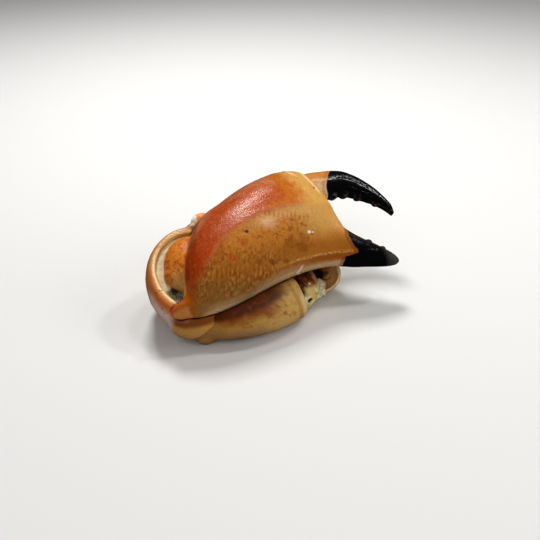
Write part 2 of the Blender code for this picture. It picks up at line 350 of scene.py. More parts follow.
# Even mesh, with soft joins at the horn and at the lobe
remeshed(palm, voxel=0.5)
s, t, n = in_frame(palm, palm_frame)
p, q = as_seen(s, t, n)
eased(palm, 4)
eased(palm, 45, climb(s, -36, -42) * climb(t, -17, -22))
eased(palm, 30, bell(p - crease_line(q), 2.8) * climb(n, 0, 4))

# Relief: the ridge and the dip under it, the pitted line and the dip under that, the rim beside
# the movable finger, the fold over it, and fine lumps
s, t, n = in_frame(palm, palm_frame)
p, q = as_seen(s, t, n)
outer = climb(n, -1, 2)
ridged = climb(s, -38, -30) * outer
from_ridge = q - ridge_line(p)
from_lower = q - lower_line(p)
heights = 0.25 * bell(from_ridge, 1.8) * climb(p, 30, 16) * ridged
heights -= 0.20 * bell(from_ridge + 4.4, 2.8) * climb(p, 28, 12) * ridged
heights += 0.35 * bell(from_lower, 0.9) * climb(p, -18, -6) * climb(p, 60, 52) * outer
heights -= 0.35 * bell(from_lower + 2.4, 1.4) * climb(p, -12, 2) * climb(p, 52, 40) * outer
heights += 0.35 * bell(p - 40.0 + 0.0195 * (q - 24) ** 2, 1.2) * climb(q, 20, 28)
heights += 0.35 * bell(p - 24.5 + 0.9 * (q - 42), 1.0) * climb(q, 36, 40)
heights += 0.12 * lumps(palm, 7.0, 1) + 0.07 * lumps(palm, 2.4, 2) + 0.04 * lumps(palm, 1.3, 3)
pushed(palm, heights)


def colour(code):
    """A colour picker's hexadecimal code as the linear colour that a shader takes."""
    parts = [int(code[k:k + 2], 16) / 255 for k in (0, 2, 4)]
    return (*[c / 12.92 if c <= 0.04045 else ((c + 0.055) / 1.055) ** 2.4 for c in parts], 1.0)


class Shade:
    """A value or colour in a material's nodes: sums written with it become Math nodes."""

    def __init__(self, tree, socket=None):
        self.tree = tree
        self.socket = socket

    def node(self, kind, settings, inputs, output=0):
        """Adds a node, sets it, feeds its sockets, and gives back one of its outputs."""
        made = self.tree.nodes.new(kind)
        for name, value in settings.items():
            setattr(made, name, value)
        for name, value in inputs.items():
            if isinstance(value, Shade):
                self.tree.links.new(value.socket, made.inputs[name])
            else:
                made.inputs[name].default_value = value
        return Shade(self.tree, made.outputs[output])

    def maths(self, operation, *others):
        """Adds a Math node that works on this value and any others."""
        return self.node("ShaderNodeMath", {"operation": operation},
                         dict(enumerate((self, *others))))

    def __add__(self, other):
        return self.maths('ADD', other)

    def __sub__(self, other):
        return self.maths('SUBTRACT', other)

    def __rsub__(self, other):
        return -self + other

    def __mul__(self, other):
        return self.maths('MULTIPLY', other)

    def __truediv__(self, other):
        return self.maths('DIVIDE', other)

    def __rtruediv__(self, other):
        return self.maths('POWER', -1.0) * other

    def __neg__(self):
        return self.maths('MULTIPLY', -1.0)

    def __abs__(self):
        return self.maths('ABSOLUTE')

    __radd__ = __add__
    __rmul__ = __mul__

    def most(self, other):
        """This value or the other one, whichever is higher."""
        return self.maths('MAXIMUM', other)

    def rise(self, low, high):
        """0 up to low and 1 from high, smooth between them; with low above high it falls."""
        return self.node("ShaderNodeMapRange", {"interpolation_type": 'SMOOTHSTEP'},
                         {0: self, 1: low, 2: high, 3: 0.0, 4: 1.0})

    def line(self, width):
        """1 where this value is 0, fading out over a width to both sides."""
        return abs(self).rise(width, 0.15 * width)

    def paint(self, under, over, share=1.0):
        """Paints one colour over another where this value is 1, with a share of its strength."""
        mask = self if share == 1.0 else self * share
        under, over = (colour(c) if isinstance(c, str) else c for c in (under, over))
        return self.node("ShaderNodeMix", {"data_type": 'RGBA'}, {0: mask, 6: under, 7: over}, 2)

    def toned(self, tone):
        """This colour, made lighter and darker by a value about 0."""
        return self.node("ShaderNodeHueSaturation", {}, {"Value": tone + 1.0, "Color": self})


def length(*sides):
    """How far a place is, from its distances along each axis."""
    squares = sides[0] * sides[0]
    for side in sides[1:]:
        squares = squares + side * side
    return squares.maths('SQRT')


def grains(where, scale, detail):
    """Random values about 0, from -0.5 to 0.5, by place."""
    found = where.node("ShaderNodeTexNoise", {}, {"Vector": where, "Scale": scale, "Detail": detail})
    return found - 0.5


class Surface:
    """A material, with the places that its colours go by in millimetres; where is in metres."""

    def __init__(self, name):
        self.material = bpy.data.materials.new(name)
        self.material.use_nodes = True
        self.tree = self.material.node_tree
        self.shader = self.tree.nodes["Principled BSDF"]
        start = Shade(self.tree)
        self.where = start.node("ShaderNodeTexCoord", {}, {}, "Object")
        x, y, z = (start.node("ShaderNodeSeparateXYZ", {}, {0: self.where}, k) for k in range(3))
        self.x = x * 1000 - CLAW_SHIFT[0]
        self.y = y * 1000 - CLAW_SHIFT[1]
        self.z = z * 1000
        self.s = self.x
        self.t = self.y * cos(PALM_LEAN) + (self.z - PALM_REST) * sin(PALM_LEAN)
        self.n = (self.z - PALM_REST) * cos(PALM_LEAN) - self.y * sin(PALM_LEAN)
        self.p, self.q = as_seen(self.s, self.t, self.n)

    def speckle(self, size, detail=2.0):
        """Random values in grains of a size."""
        return grains(self.where, 1 / (size * MM), detail)

    def spot(self, first, second, reach, edge=0.5):
        """1 near a place on the palm, given by p and q, and 0 beyond its reach."""
        return length(self.p - first, self.q - second).rise(reach, reach * edge)

    def set(self, base, roughness, height, depth, shine=0.4):
        """Feeds the shader: colour, roughness, and a bump as deep as depth where height is 1."""
        bump = height.node(
            "ShaderNodeBump", {}, {"Strength": 1.0, "Distance": depth * MM, "Height": height})
        for name, value in (("Base Color", base), ("Roughness", roughness), ("Normal", bump)):
            self.tree.links.new(value.socket, self.shader.inputs[name])
        self.shader.inputs["Specular IOR Level"].default_value = shine
        return self.material


def dress(piece, material, node):
    """Gives a piece its material and smooth shading, and puts it in its node's place."""
    piece.data.materials.clear()
    piece.data.materials.append(material)
    piece.data.polygons.foreach_set("use_smooth", [True] * len(piece.data.polygons))
    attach(piece, "root")
    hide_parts(node)


shell = Surface("palm_shell")
s, t, n, p, q = shell.s, shell.t, shell.n, shell.p, shell.q
broad, middling, fine = shell.speckle(9.0), shell.speckle(3.2, 3.0), shell.speckle(0.9)
grit, blotch = shell.speckle(0.5, 1.0), shell.speckle(2.0, 5.0)
above = q - ridge_line(p) + (p + broad * 4).rise(-20.0, -38.0) * 6.0
patterned = p.rise(30.0, 12.0) * 0.85 + 0.15
blotches = (blotch + broad * 0.4).rise(0.0, 0.14) * patterned

# Upper face: deep red-orange at the wrist, paler and pinker towards the upper edge, partly a painted
# sheen, an orange patch, then tan beside the movable finger
red = (p + broad * 8).rise(-40.0, -24.0).paint("a43c08", "b04c18")
red = (p + broad * 8).rise(-20.0, 2.0).paint(red, "b85a2c")
# Paler and pinker towards the upper edge: partly the shell's colour, partly a painted sheen
red = (above + broad * 8).rise(13.0, 20.0).paint(red, "bc7a58")
patch = (p - 4.0 - abs(q - 25.0) * 0.4 + broad * 5 + middling * 3).rise(-1.0, 5.0)
red = patch.paint(red, "bc6c1c")
red = (shell.spot(10.5, 29.0, 9.0) + middling * 2).rise(0.0, 1.0).paint(red, "b04e04", 0.75)
tan_side = (p - 25.0 + (q - 34.0).most(0.0) * 0.6 + broad * 7 + middling * 9).rise(-6.0, 6.0)
red = tan_side.paint(red, "d2a256")
red = blotches.paint(red, "962c04", 0.34)
red = (-blotch).rise(0.04, 0.16).paint(red, "c87848", 0.3)

# Lower face: orange, then ochre, olive towards its lower edge and tan at the fingers, with
# brown mottling and with dark and pale streaks that run upwards near the wrist
low = (p + broad * 10).rise(-36.0, -14.0).paint("a04400", "c07c2e")
low = (q + broad * 8).rise(4.0, -8.0).paint(low, "aa6a22")
low = (q + broad * 6 + p * 0.25).rise(-18.0, -26.0).paint(low, "8c6026")
tan = (p + broad * 10).rise(12.0, 27.0) * (q + broad * 8).rise(-6.0, 6.0)
low = tan.paint(low, "c89650")
mottle = (middling + broad * 0.6).rise(0.0, 0.14) * (q - 5.0).line(17.0) * p.rise(30.0, 20.0)
low = mottle.paint(low, "84440c", 0.6)
drawn_up = p.node("ShaderNodeCombineXYZ", {}, {0: p - q * 0.4, 1: q * 0.45})
streaks = grains(drawn_up, 1 / 1.2, 3.0)
streaked = (p.rise(8.0, -8.0) * q.rise(6.0, -4.0) * 0.85 + 0.15) * patterned
low = ((streaks + broad * 0.4).rise(0.0, 0.13) * streaked).paint(low, "7a3608", 0.5)
low = ((-streaks + broad * 0.4).rise(0.02, 0.15) * streaked).paint(low, "dcb070", 0.2)
low = blotches.paint(low, "8c4a10", 0.32)

# The two faces meet along the ridge, which has a pinkish line, and more softly at the wrist
sharp = p.rise(-48.0, -16.0) * 0.84 + 0.16
base = ((above + middling * 3.0) * sharp).rise(-2.2, 0.6).paint(low, red)
pink = (above + 1.0 + middling).line(2.6) * p.rise(-40.0, -28.0) * p.rise(28.0, 20.0)
base = pink.paint(base, "bc6e48", 0.45)

# A paler stretch under the ridge; and a soft pale patch on each side of it, partly a paler worn area
# and partly a painted highlight
pale = (above + 4.4 + middling * 3).line(4.8) * p.rise(-12.0, -2.0) * p.rise(28.0, 21.0)
base = pale.paint(base, "cc9c5c", 0.55)
# Two soft pale patches: partly worn paler, partly painted highlight
base = shell.spot(2.6, 12.2, 6.4, 0.1).paint(base, "e0b490", 0.5)
base = shell.spot(-9.0, 21.0, 8.5, 0.1).paint(base, "c88c70", 0.4)

# Short upright dashes in two rows, one on the paler stretch and one over the lower edge
dashes = (p * 2.7 - q * 1.1 + broad * 7).maths('SINE').rise(-0.1, 0.8)
dashes = dashes * (fine + middling).rise(-0.3, 0.1)
upper_row = (q - 18.9 + p * 0.33).line(3.4) * p.rise(-2.0, 4.0) * p.rise(25.0, 21.0)
base = (dashes * upper_row).paint(base, "ac5410", 0.75)
lower_row = (q + 8.5 + (p + 35.0) * 0.24).line(6.0) * p.rise(-46.0, -38.0) * p.rise(0.0, -10.0)
base = (dashes * lower_row).paint(base, "6e3008", 0.45)

# Single marks: p, q, reach, strength and colour
PALM_MARKS = [
    (-9.7, 9.2, 1.3, 0.9, "4a140a"),        # a dark dot
    (-13.1, 3.7, 2.6, 0.45, "a83c10"),      # two reddish marks, the second with a light middle
    (-21.1, -3.3, 2.2, 0.6, "b04014"),
    (-21.0, -3.6, 0.8, 0.6, "d8683c"),
    (9.7, -2.0, 4.0, 0.4, "844008"),        # brown patches towards the fixed finger
    (14.4, -5.5, 4.0, 0.45, "844008"),
    (17.0, -0.5, 3.6, 0.4, "884a10"),
    (-9.6, -8.8, 2.6, 0.5, "7c3c08"),       # brown patches over the lower edge
    (-3.3, -10.3, 2.2, 0.6, "743608"),
    (3.5, -11.3, 1.8, 0.5, "743608"),
    (20.8, 2.4, 1.2, 0.9, "f4e8d2"),        # white specks
    (22.6, 1.9, 0.8, 0.7, "eedcc0"),
    (34.3, 28.8, 0.9, 0.8, "5c3416"),       # a dark speck beside the movable finger
]
for first, second, reach, strength, tint in PALM_MARKS:
    base = shell.spot(first, second, reach).paint(base, tint, strength)

# The pale margin and keel of the lower edge, the keel partly a painted sheen of reflected light; the
# pitted line over it, its crest partly a painted highlight, with a darker band between the two that is
# partly painted shade in the dip; the plainer inner face, and the short white scrape
over_edge = t - lower_edge(s).most(s * 0.144 - 24.7) + n * 0.3
margin = (over_edge + broad * 2 + s.rise(0.0, 24.0)).rise(4.2, 1.0) * s.rise(-50.0, -38.0)
base = (margin * (s.rise(36.0, 20.0) * 0.6 + 0.15)).paint(base, "ac8c62")
# Keel: pale shell with a painted sheen of reflected light along the edge
keel_and_sheen = over_edge.rise(1.4, 0.3) * s.rise(-50.0, -42.0)
base = keel_and_sheen.paint(base, "cfae8c", 0.6)
from_lower = q - lower_line(p)
# A darker band, partly painted shade in the dip under the pitted line
burnt_and_shade = (from_lower + 2.4 + middling).line(2.8) * p.rise(4.0, 24.0)
base = burnt_and_shade.paint(base, "964e0c", 0.75)
# Pale dotted crest: partly a painted highlight along the ridge
crest = (from_lower + middling * 1.4).line(1.2) * p.rise(-8.0, 8.0) * p.rise(46.0, 36.0)
base = (crest * fine.rise(-0.1, 0.1)).paint(base, "e0b070", 0.6)
base = (n + middling * 3).rise(-2.0, -9.0).paint(base, "c49a66", 0.6)
scrape = (q + 16.8 - (p - 9.8) * 0.8 + middling).line(0.9) * p.rise(4.0, 6.0) * p.rise(11.5, 10.0)
base = scrape.paint(base, "ecdcc0", 0.85)

# The pale rim beside the movable finger, partly a painted highlight, and the short fold above it
# The rim's pale line: partly a painted highlight along its edge
rim = (p - 36.3 + (q - 20.0) * (q - 20.0) * 0.0125 + middling * 0.8).line(1.2) * q.rise(23.0, 27.0)
base = rim.paint(base, "f0d8a8", 0.65)
fold = (p - 24.5 + (q - 42.0) * 0.9).line(1.3) * q.rise(37.0, 40.0)
base = fold.paint(base, "e8c896", 0.7)

# Wrist lobe with its speckles and painted shade in the crease beside it, then the horn and the knob
lobe = (p - crease_line(q)).rise(0.5, -0.8) * n.rise(13.0, 11.0)
lobe_colour = (t + broad * 5).rise(-13.0, -4.0).paint("cc9c58", "d88430")
mottle = (blotch + broad * 0.3).rise(-0.04, 0.12) * t.rise(-15.0, -8.0)
lobe_colour = mottle.paint(lobe_colour, "b65008", 0.7)
lobe_colour = (fine + blotch * 0.5).rise(0.02, 0.2).paint(lobe_colour, "9c3c04", 0.4)
base = lobe.paint(base, lobe_colour)
# Painted shade in the crease between the palm's swelling and the lobe
crease_shade = (p - crease_line(q) - 0.6).line(2.4) * q.rise(-14.0, -8.0) * n.rise(0.0, 3.0)
base = crease_shade.paint(base, "7c2e06", 0.55)
horn = (s - middling * 3).rise(-45.5, -53.5) * t.rise(-19.0, -22.0)
horn = horn * ((t + middling * 2).rise(-28.6, -26.6) * 0.45 + 0.55)
base = horn.paint(base, s.rise(-52.0, -60.0).paint("a4540c", "b86028"))
knob = (t - 22.4 - (s + 30.0) * 0.62).rise(0.0, 1.0) * s.rise(-24.0, -26.0) * n.rise(3.4, 2.0)
base = knob.paint(base, s.rise(-32.4, -33.4).paint("f8a464", "fff8ea"))

# Black fixed finger, with a burnt edge, paler on its teeth and grey towards its tip
upper_part = (q + middling * 0.5).rise(-16.2, -15.2)
black_from = 32.0 + (q + 20.0) * 0.6 + upper_part * (6.8 - (q + 15.0) * 0.72)
black_from = black_from + (q + 4.0).most(0.0) * 0.5
black = (p - black_from + middling * 1.6 + fine * 0.6).rise(-0.35, 0.45)
ink = (p + middling * 4).rise(54.0, 61.0).paint("0c0b0d", "4c4844")
toothed = (q + 7.5 + (p - 43.6) * 0.78).rise(0.4, 2.0)
ink = toothed.paint(ink, "4a4540", 0.4)
edge = (p - black_from + 1.0 + middling * 1.6).line(1.8)
base = edge.paint(base, "7a3c0a", 0.6)
base = black.paint(base, ink)

# Glossiest high on the palm and on the black shell, with a fine-grained skin all over
grain = fine * 0.5 + middling * 0.3 + grit * 0.3
base = base.toned(grain * 0.8)
dull = 1.0 - shell.spot(-4.0, 27.0, 16.0)
roughness = grain * 0.3 + 0.23 + dull * 0.10 - black * 0.12
relief = fine + grit * 0.3 + middling * 0.2
dress(palm, shell.set(base, roughness, relief, depth=0.15, shine=0.16), "palm")

# ---------------------------------------------------------------- movable finger
# The curved finger that opens and shuts, its root set in the palm's end: thick shell, tan at the
# root and then glossy black, with two long grooves down each side and low rounded teeth on its
# inner edge.

FINGER_TEETH = [
    ((45.6, 24.2, -1.4), (2.8, 1.7, 3.0)),
    ((52.3, 23.7, -1.2), (3.0, 1.7, 3.0)),
    ((59.2, 19.9, -0.8), (2.9, 1.7, 2.6)),
    ((67.2, 13.3, -0.5), (2.4, 1.6, 2.0)),
]
# Grooves: place and width across the face, depth, and where along the finger they begin and end
FINGER_GROOVES = [(0.50, 0.055, 0.10, 0.28, 0.92), (-0.10, 0.05, 0.08, 0.34, 0.86)]
FINGER_TIP = (73.4, 4.6, 0.0)
WORN_TINTS = ("a8a09a", "6c625c", "7a5c50", "8a6656", "b09a8c")     # four teeth, then the tip

finger = edge_loft("finger_shell", FINGER_SECTIONS, stations=140, sides=120, grooves=FINGER_GROOVES)
combine(finger, [ball("finger_tooth", palm_frame, *tooth) for tooth in FINGER_TEETH], 'UNION')
remeshed(finger, voxel=0.36)
eased(finger, 4)
pushed(finger, 0.06 * lumps(finger, 3.0, 4) + 0.03 * lumps(finger, 1.2, 5))

shell = Surface("finger_shell")
s, t, n, p, q = shell.s, shell.t, shell.n, shell.p, shell.q
broad, middling, fine = shell.speckle(8.0), shell.speckle(3.0, 3.0), shell.speckle(0.8)
# The root: pale yellow low and orange-tan above, the pale side partly painted light
base = (q + broad * 6).rise(28.0, 37.0).paint("f4d4a4", "c4843c")
base = middling.rise(0.08, 0.2).paint(base, "b8742c", 0.2)

# The black starts along a curve, with a burnt edge, and has rows of pits in its grooves
over = (q - 22.8).most(0.0)
black_from = over * over * 0.0257 + 41.7
black = (p - black_from + middling * 1.5 + fine * 0.5).rise(-0.3, 0.4)
base = (p - black_from + 1.6 + middling * 2).line(2.2).paint(base, "985c1c", 0.4)
pits = (q + p * p * 0.0483 - p * 5.028 + 95.9 + middling).line(1.5) * p.rise(49.0, 51.0)
pits = pits.most((q + p * p * 0.0534 - p * 5.572 + 116.7 + middling).line(1.3) * p.rise(54.0, 57.0))
pits = pits * shell.speckle(1.7).rise(-0.02, 0.06) * black * n.rise(1.0, 3.0)
ink = (p + broad * 8).rise(44.0, 70.0).paint("0d0d10", "0a0a0c")

# Its teeth and tip are worn paler
patchy = (middling + fine * 0.5).rise(-0.1, 0.2)
for (first, second, third), tint in zip([middle for middle, _ in FINGER_TEETH] + [FINGER_TIP], WORN_TINTS):
    worn = length(s - first, t - second + 0.5, (n - third) * 0.6).rise(2.6, 1.0)
    ink = (worn * patchy).paint(ink, tint, 0.8)
base = black.paint(base, ink).toned(fine * 0.4)
roughness = fine * 0.14 + 0.27 - black * 0.04
relief = fine * 0.15 + middling * 0.6 - pits * 1.2
dress(finger, shell.set(base, roughness, relief, depth=0.22), "movable_finger")

# ---------------------------------------------------------------- merus
# The longest piece of the folded arm, a tube of shell on which the palm lies: tan, brown on top and
# with painted shadow where the palm shades it, and pinkish below. A knuckle at one end meets the
# elbow, and the other end is an open socket with a pale rim.

# x, y, z, half width, half height
MERUS_SECTIONS = [
    (-54.0, -18.5, 8.8, 3.0, 3.0),
    (-51.0, -19.2, 8.8, 7.0, 5.8),
    (-46.0, -20.4, 8.9, 8.9, 7.2),
    (-41.0, -21.3, 9.0, 10.7, 8.2),
    (-35.0, -22.6, 9.2, 12.4, 9.0),
    (-20.0, -22.6, 9.6, 14.5, 9.8),
    (-5.0, -21.2, 9.8, 14.3, 10.0),
    (3.0, -19.4, 9.8, 12.6, 9.8),
    (7.5, -17.8, 9.6, 11.0, 9.0),
]
MERUS_KNUCKLE = ((-44.0, -24.8, 4.4), (6.2, 4.8, 4.6))
MERUS_SOCKET = ((9.5, -17.2, 9.6), (4.5, 9.4, 7.6))


def limb_loft(name, sections, stations, sides, lean):
    """A form along x through upright ovals, which lean back as they rise."""
    angle = np.arange(sides) * 2 * pi / sides
    rings = []
    for x, y, z, wide, high in smooth_rows(sections, stations):
        rise = high * np.sin(angle)
        rings.append(np.column_stack([x - lean * rise, y + wide * np.cos(angle), z + rise]))
    return from_rings(name, rings, ground_frame)


def set_down(piece):
    """Flattens what would reach below the floor."""
    points = read(piece, "co")
    points[:, 2] = np.maximum(points[:, 2], 0.0)
    write(piece, points)


def along_arm(x, z):
    """An x that stays the same all along the merus's leaning rim, on a mesh or in a material."""
    return x + (z - 9.8) * 0.15


def under_palm(x, z):
    """A height that stays the same all along the palm's edge, which shades what is close to it."""
    return z - (x + 24.0) * 0.1


merus_forms = [
    limb_loft("merus_body", MERUS_SECTIONS, stations=90, sides=80, lean=0.15),
    ball("merus_knuckle", ground_frame, *MERUS_KNUCKLE),
]
merus = joined("merus_shell", merus_forms)
socket = ball("merus_socket", ground_frame, *MERUS_SOCKET)
combine(merus, [socket] + room_for(palm_forms), 'DIFFERENCE')
merus_whole = copied(merus, "merus_whole")
remeshed(merus, voxel=0.45)
eased(merus, 7)
x, _, z = in_frame(merus, ground_frame)
knuckle_root = bell(x + 40, 6) * climb(z, 11, 7)
eased(merus, 20, knuckle_root)
heights = 0.16 * lumps(merus, 8.0, 6) + 0.06 * lumps(merus, 2.5, 7) + 0.02 * lumps(merus, 1.0, 8)
rim = along_arm(x, z)
heights += (0.30 * bell(rim - 4.6, 0.8) - 0.15 * bell(rim - 2.6, 1.0)) * climb(z, 17, 12)
pushed(merus, heights)
set_down(merus)

shell = Surface("merus_shell")
x, y, z = shell.x, shell.y, shell.z
broad, middling, fine = shell.speckle(8.0), shell.speckle(2.6, 3.0), shell.speckle(0.8)

# Tan, pinkish below, paler towards the open end and darker towards the elbow, and brown on top, partly
# painted shade; then painted shadow where the palm shades it
base = (z + broad * 5).rise(7.0, 12.5).paint("8c6850", "b08440")
base = (x + broad * 8).rise(-30.0, -6.0).paint(base, "c6a05c", 0.8)
base = (x + broad * 8).rise(-20.0, -44.0).paint(base, "a67636", 0.7)
brown = (z + broad * 6).rise(12.5, 16.0) * (x + broad * 8).rise(-3.0, -18.0)
base = brown.paint(base, "823a00", 0.85)
# Painted shadow of the palm's edge along the merus's top
shaded = (under_palm(x, z) + broad * 2).rise(15.8, 17.6) * x.rise(6.0, -10.0)
base = shaded.paint(base, "4c1c00", 0.9)

# Spots and small streaks on top, the pinkish underside of the open end, its rim with a darker
# groove beside it, and the plainer back
spots = (shell.speckle(2.6, 0.0) + broad * 0.4).rise(0.05, 0.3)
spots = spots * z.rise(10.0, 14.0) * x.rise(-38.0, -26.0)
base = spots.paint(base, "844010", 0.45)
streaks = (shell.speckle(1.6, 2.0) + broad * 0.8).rise(0.02, 0.3)
streaks = streaks * x.rise(-34.0, -26.0) * x.rise(5.0, -3.0) * (z + broad * 4).rise(9.5, 12.5)
base = streaks.paint(base, "84400a", 0.6)
base = ((z + broad * 5).rise(10.0, 6.0) * x.rise(-16.0, 0.0)).paint(base, "b0906e", 0.6)
rim = along_arm(x, z)
base = (rim - 2.6 + middling).line(1.6).paint(base, "8a5a24", 0.35)
base = (rim.rise(4.0, 5.2) * z.rise(17.5, 15.0)).paint(base, "dcc698", 0.65)
base = y.rise(-14.0, -9.0).paint(base, "c49a66", 0.5)
base = base.toned(fine * 0.4)
relief = fine * 0.8 + middling * 0.7
dress(merus, shell.set(base, fine * 0.18 + 0.42, relief, depth=0.2, shine=0.2), "merus")

# ---------------------------------------------------------------- carpus
# The elbow piece, a swollen cup of shell that the palm's lobe turns in. Its rim is a rounded pale
# lip, its outside orange to pinkish, and its cuff wraps the end of the merus.

CARPUS_BULGE = ((-43.3, -5.4, -6.5), (23.0, 27.9, 19.5), -0.29)
CARPUS_BACK = ((-44.0, 5.2, 14.2), (20.3, 18.3, 14.75))
CARPUS_CUFF = ((-43.6, -18.0, 10.6), (17.2, 13.4, 9.5))
WRIST_CUP = ((-41.5, -6.0, 0.0), (19.9, 22.0, 15.5))
CUP_RIM = (-40.0, 0.0, 1.6)         # a point on the rim's plane
CUFF_EDGE = ((-41.5, -22.0, 10.5), (1.0, -0.5, -1.4))       # a point on it and which way it faces
RIM_END = ((-36.6, 19.8, -0.4), (4.2, 2.6, 2.6), 0.5)


def half_space(name, place, point, facing=(0, 0, 1)):
    """A large block whose one face passes through a point; the block lies on the facing side."""
    side = 300 * MM
    bpy.ops.mesh.primitive_cube_add(size=side)
    made = bpy.context.object
    made.name = name
    made.data.transform(Matrix.Translation((0, 0, side / 2)))
    made.data.transform(Vector(facing).to_track_quat('Z', 'Y').to_matrix().to_4x4())
    made.data.transform(Matrix.Translation([c * MM for c in point]))
    return placed(made, place)


carpus_forms = [
    ball("carpus_bulge", palm_frame, *CARPUS_BULGE),
    ball("carpus_cuff", ground_frame, *CARPUS_CUFF),
    ball("carpus_back", ground_frame, *CARPUS_BACK),
]
carpus = joined("carpus_shell", carpus_forms)
remeshed(carpus, voxel=0.7)
_, y, z = in_frame(carpus, ground_frame)
eased(carpus, 60, climb(y, -9, -2) * climb(z, 26, 18))
combine(carpus, [
    ball("carpus_cup", palm_frame, *WRIST_CUP),
    half_space("carpus_above", palm_frame, CUP_RIM),
    half_space("carpus_past", ground_frame, *CUFF_EDGE),
], 'DIFFERENCE')
combine(carpus, [ball("carpus_rim_end", palm_frame, *RIM_END)], 'UNION')
combine(carpus, room_for(palm_forms, 0.4) + room_for(merus_forms, 0.1), 'DIFFERENCE')
remeshed(carpus, voxel=0.45)
eased(carpus, 16)
heights = 0.16 * lumps(carpus, 7.0, 9) + 0.06 * lumps(carpus, 2.2, 10) + 0.03 * lumps(carpus, 1.2, 11)
pushed(carpus, heights + 0.12)
set_down(carpus)

shell = Surface("carpus_shell")
s, t, n, x, y, z = shell.s, shell.t, shell.n, shell.x, shell.y, shell.z
broad, middling, fine = shell.speckle(8.0), shell.speckle(2.6, 3.0), shell.speckle(0.8)

# Orange near the rim and pinkish away from it, whitish low at the front, both partly painted sheen,
# and ochre along the rim
base = (n + broad * 4).rise(-11.0, -3.0).paint("bc8c68", "c46e30")
base = ((t + broad * 6).rise(-4.0, -16.0) * (n + broad * 3).rise(0.0, -4.5)).paint(base, "ccb0a4")
base = ((n + broad * 2).line(3.0) * t.rise(-12.0, -2.0)).paint(base, "c8843c", 0.5)

# The cup's lip with a painted highlight line along its inner edge, dark dots, the rim's grey-green
# end, and the cuff with painted shadow under the palm's edge
(cup_s, cup_t, _), (cup_length, cup_height, _) = WRIST_CUP
from_cup = length((s - cup_s) / cup_length, (t - cup_t) / cup_height)
inner_edge = (from_cup + broad * 0.1).rise(1.19, 1.09) * (n + middling).rise(-4.0, -1.0)
base = inner_edge.paint(base, "cc9c58", 0.85)
# A painted highlight line along the lip's inner edge
lip_highlight = (from_cup - 1.055 + middling * 0.05).line(0.05) * (t.rise(14.0, 0.0) * 0.6 + 0.2)
base = (lip_highlight * inner_edge).paint(base, "f4deb0")
dots = middling.rise(0.13, 0.2) * t.rise(-6.0, -14.0)
base = dots.paint(base, "5c3024", 0.6)
rim_end = s.rise(-40.0, -36.5) * t.rise(17.0, 19.0)
base = rim_end.paint(base, middling.rise(-0.05, 0.1).paint("bcb088", "7c7854"), 0.8)
cuff = y.rise(-20.0, -24.0) * z.rise(19.0, 15.0).most(z.rise(23.0, 20.0) * x.rise(-57.0, -52.0))
cuff_colour = (z + broad * 5).rise(5.0, 12.0).paint("ac8660", "bc8a40")
# Painted shadow of the palm's edge over the top of the cuff
shaded = (under_palm(x, z) + broad * 2).rise(15.4, 17.6)
cuff_colour = shaded.paint(cuff_colour, "783408", 0.85)
base = cuff.paint(base, cuff_colour).toned(fine * 0.4)
relief = fine * 0.8 + middling * 0.6
dress(carpus, shell.set(base, fine * 0.18 + 0.33, relief, depth=0.22), "carpus")

# ---------------------------------------------------------------- wrist membrane
# The pale band of soft joint skin that closes the wrist, stretched between the palm's lobe and
# the cup's lip. Low at the wrist it is torn, with a grey-green netted patch showing.

BAND_RIM = (-40.0, 0.0, -0.2)       # a point on the plane of the band's edge
CUP_TUCK = 0.4              # how far the band reaches into the cup's wall
LOBE_TUCK = 0.5             # and into the palm's lobe

cup_middle, cup_radii = WRIST_CUP
band = ball("wrist_skin", palm_frame, cup_middle, [r + CUP_TUCK for r in cup_radii])
past_rim = half_space("band_above", palm_frame, BAND_RIM)
combine(band, [past_rim] + room_for(palm_forms, -LOBE_TUCK) + room_for(merus_forms), 'DIFFERENCE')
remeshed(band, voxel=0.45)
eased(band, 6)
s, t, n = in_frame(band, palm_frame)
heights = 0.10 * lumps(band, 4.0, 12) + 0.06 * lumps(band, 1.6, 13)
torn_hollow = bell(np.hypot((s + 55.5) * 0.8, t + 16.6), 3.4) * climb(n, -2, -1)
pushed(band, heights - 1.2 * torn_hollow)

skin = Surface("wrist_skin")
s, t = skin.s, skin.t
broad, middling, fine = skin.speckle(6.0), skin.speckle(2.0, 3.0), skin.speckle(0.7)
base = (middling + broad).rise(-0.2, 0.25).paint("cfb88c", "dccaa4")

# A netted tear low at the wrist, painted shade in the hollow beside it, and painted shade in the gap
# at the band's upper end
net = skin.where.node("ShaderNodeTexVoronoi", {"feature": 'DISTANCE_TO_EDGE'},
                      {"Vector": skin.where, "Scale": 1100.0}).rise(0.22, 0.08)
torn = (length((s + 56.6) * 0.775, t + 17.4) + middling * 2).rise(4.8, 3.6)
base = torn.paint(base, net.paint("4c4630", "988c6c"))
base = length(s + 54.8, t + 13.4).rise(2.8, 1.2).paint(base, "2c1006", 0.9)
base = length(s + 36.5, t - 16.6).rise(3.4, 1.4).paint(base, "2c1a08", 0.9)
relief = fine * 0.5 + middling * 0.5 + net * torn * 0.8
dress(band, skin.set(base, fine * 0.15 + 0.42, relief, depth=0.22), "wrist_membrane")

# ---------------------------------------------------------------- ischium
# A short ring of shell past the merus, cream with a brown top, partly painted shade under the palm,
# ridged and pitted. Its end is set in the merus's open end, with a dark crack between the two.

# The same order as the merus's sections
ISCHIUM_SECTIONS = [
    (5.6, -16.6, 9.3, 7.6, 6.0),
    (8.6, -16.4, 9.3, 9.4, 7.6),
    (13.0, -14.2, 9.6, 10.0, 8.4),
    (17.0, -11.6, 9.8, 9.4, 8.2),
    (20.0, -9.4, 9.8, 7.0, 6.2),
]

